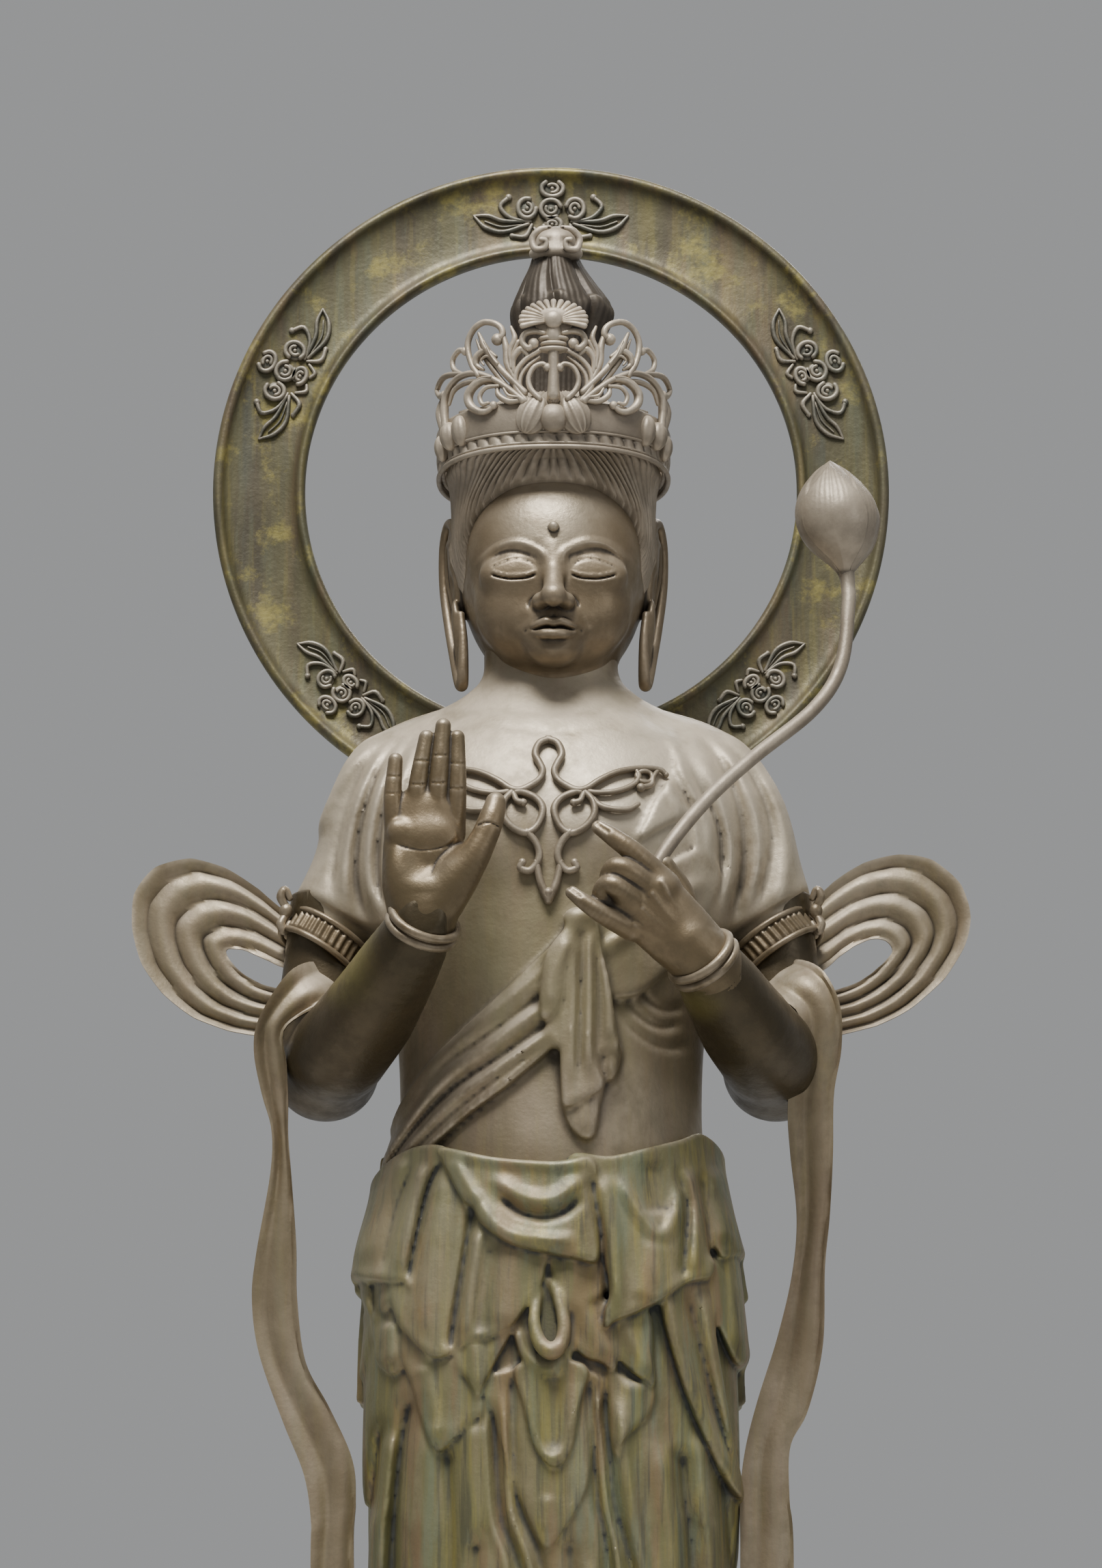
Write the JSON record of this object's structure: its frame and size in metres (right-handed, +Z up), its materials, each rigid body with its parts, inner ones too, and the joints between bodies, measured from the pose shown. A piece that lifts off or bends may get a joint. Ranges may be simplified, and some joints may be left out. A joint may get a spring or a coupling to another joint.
{
  "type": "bronze bodhisattva statue",
  "caption": "Standing cast-bronze bodhisattva with a ring halo, openwork crown, raised palm, lotus bud on a long stem, looping scarves and a layered pleated skirt, on a low lotus pedestal.",
  "frame": {"origin": "centre of the lotus pedestal's underside, on the ground", "axes": "+Z up, the figure faces -Y, +X towards the figure's own left"},
  "size_m": [0.6794, 0.424, 1.949],
  "materials": {
    "pedestal_bronze": "weathered olive-brown bronze patina, dull",
    "figure_bronze": "grey-brown bronze patina, paler and dusty on upper surfaces, streaked green on the skirt",
    "crown_bronze": "pale grey-brown bronze patina with dark hollows",
    "pendant_bronze": "grey-brown bronze patina, rubbed pale on the edges",
    "lotus_bronze": "grey-brown bronze patina, slightly glossy",
    "halo_bronze": "dark bronze patina with lichen and worn rims"
  },
  "bodies": {
    "root": {"lotus_base": "pedestal_bronze", "figure": "figure_bronze", "arm_left": "figure_bronze", "arm_right": "figure_bronze", "scarf_loop_left": "figure_bronze", "scarf_loop_right": "figure_bronze", "scarf_end_left": "figure_bronze", "scarf_end_right": "figure_bronze", "crown": "crown_bronze", "chest_pendant": "pendant_bronze", "lotus_bud_and_stem": "lotus_bronze", "halo": "halo_bronze"}
  },
  "joints": []
}
